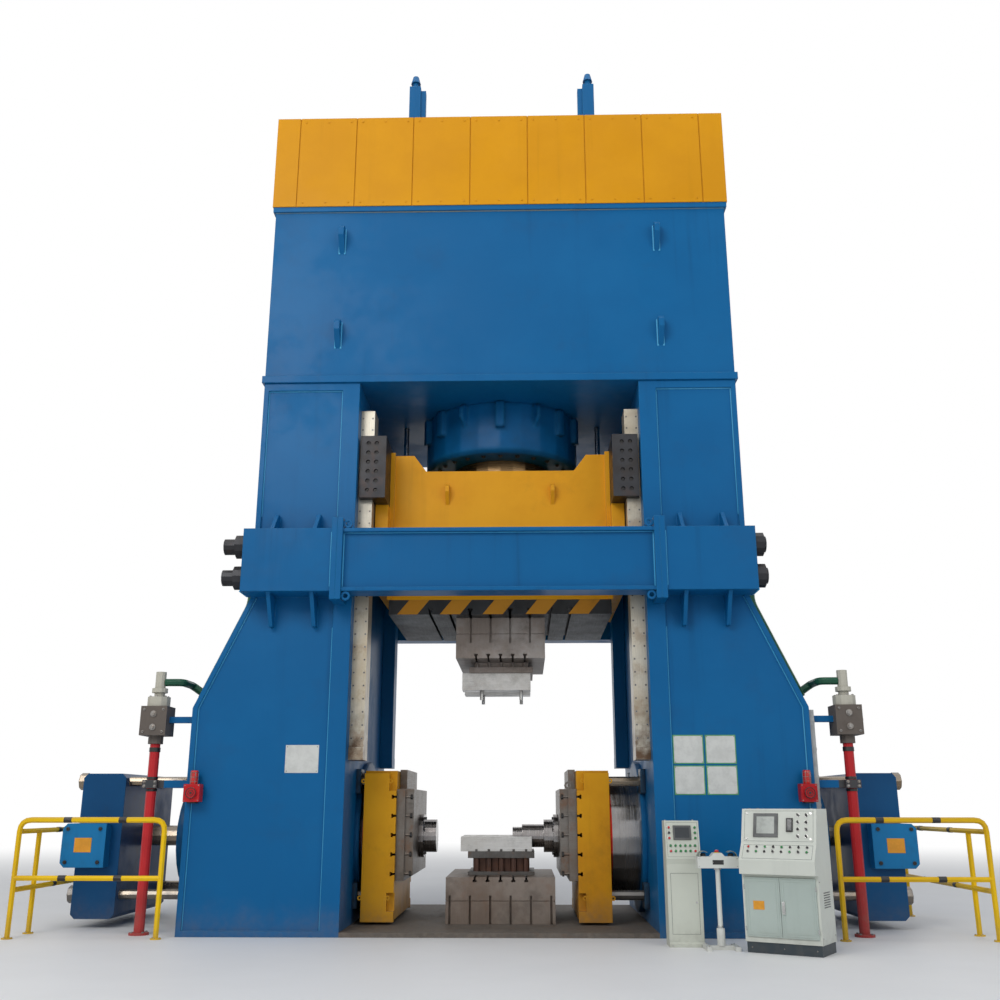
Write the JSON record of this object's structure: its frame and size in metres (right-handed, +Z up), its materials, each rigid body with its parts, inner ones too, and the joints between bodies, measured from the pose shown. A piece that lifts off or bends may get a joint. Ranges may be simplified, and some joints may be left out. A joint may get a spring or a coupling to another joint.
{
  "type": "hydraulic press",
  "caption": "Large hydraulic forging press with a blue portal frame, a yellow slide over dies, two side rams with punches, a control console and guard rails.",
  "frame": {"origin": "on the floor in the middle of the press", "axes": "+Z up, -Y towards the operator, +X to the operator's right"},
  "size_m": [10.56, 5.3063, 12.164],
  "materials": {
    "block": "grey-brown casting",
    "bolster": "brown-grey heat-stained steel",
    "bronze": "ground, oily, bronze-coloured",
    "cabinet": "off-white powder coat",
    "chrome": "hard chrome",
    "dark": "oiled dark steel",
    "frame": "semi-gloss blue enamel, chipped at the edges and dusty",
    "green": "gloss green paint",
    "rail": "gloss yellow paint with black bands",
    "red": "gloss red paint",
    "shroud": "orange-yellow sheet steel",
    "steel": "machined, oily",
    "yellow": "semi-gloss yellow enamel with oil stains"
  },
  "bodies": {
    "machine": {"bed_plate": "dark", "left_upright": "frame", "right_upright": "frame", "crown": "frame", "shroud": "shroud", "front_tie_beam": "frame", "rear_tie_beam": "frame", "front_lower_tie_rod": "dark", "front_upper_tie_rod": "dark", "rear_lower_tie_rod": "dark", "rear_upper_tie_rod": "dark", "front_left_rail": "steel", "rear_left_rail": "steel", "front_right_rail": "steel", "rear_right_rail": "steel", "main_cylinder": "frame", "left_return_cylinder": "frame", "right_return_cylinder": "frame", "bolster": "bolster", "lower_die_holder": "bolster", "lower_die": "steel", "left_side_cylinder": "frame", "left_riser": "red", "left_valve_block": "block", "left_pilot_pipe": "green", "left_siren": "red", "left_guard_rail": "rail", "right_side_cylinder": "frame", "right_riser": "red", "right_valve_block": "block", "right_pilot_pipe": "green", "right_siren": "red", "right_guard_rail": "rail", "console": "cabinet", "pedestal": "cabinet", "two_hand_stand": "cabinet"},
    "slide_assembly": {"slide": "yellow", "slide_plate": "dark", "main_plunger": "bronze", "left_guide_shoe": "dark", "right_guide_shoe": "dark", "left_return_rod": "chrome", "right_return_rod": "chrome", "upper_die_holder": "bolster", "upper_die": "steel"},
    "left_ram_assembly": {"left_ram": "steel", "left_platen": "yellow", "left_die_plate": "steel", "left_punch": "steel", "left_crosshead": "frame"},
    "right_ram_assembly": {"right_ram": "steel", "right_platen": "yellow", "right_die_plate": "steel", "right_punch": "steel", "right_crosshead": "frame"},
    "left_door": {"left_console_door": "cabinet"},
    "right_door": {"right_console_door": "cabinet"},
    "left_palm": {"left_palm_button": "dark"},
    "right_palm": {"right_palm_button": "dark"},
    "stop": {"emergency_stop_button": "red"}
  },
  "joints": [
    {"name": "slide_travel", "type": "slide", "parent": "machine", "child": "slide_assembly", "axis": [0, 0, 1], "range_m": [-1.7, 0]},
    {"name": "left_ram_travel", "type": "slide", "parent": "machine", "child": "left_ram_assembly", "axis": [1, 0, 0], "range_m": [-0.05, 0.3]},
    {"name": "right_ram_travel", "type": "slide", "parent": "machine", "child": "right_ram_assembly", "axis": [-1, 0, 0], "range_m": [-0.37, 0.12]},
    {"name": "left_door_hinge", "type": "hinge", "parent": "machine", "child": "left_door", "pos_m": [2.432, -2.80856, 0.15], "axis": [0, 0, -1], "range_deg": [0, 105]},
    {"name": "right_door_hinge", "type": "hinge", "parent": "machine", "child": "right_door", "pos_m": [3.03202, -3.16909, 0.15], "axis": [0, 0, 1], "range_deg": [0, 105]},
    {"name": "left_palm_press", "type": "slide", "parent": "machine", "child": "left_palm", "axis": [0, 0, -1], "range_m": [0, 0.006], "stiffness_N_per_m": 1500, "springref_m": -0.001},
    {"name": "right_palm_press", "type": "slide", "parent": "machine", "child": "right_palm", "axis": [0, 0, -1], "range_m": [0, 0.006], "stiffness_N_per_m": 1500, "springref_m": -0.001},
    {"name": "stop_press", "type": "slide", "parent": "machine", "child": "stop", "axis": [0, 0, -1], "range_m": [0, 0.006], "stiffness_N_per_m": 1500, "springref_m": -0.001}
  ]
}
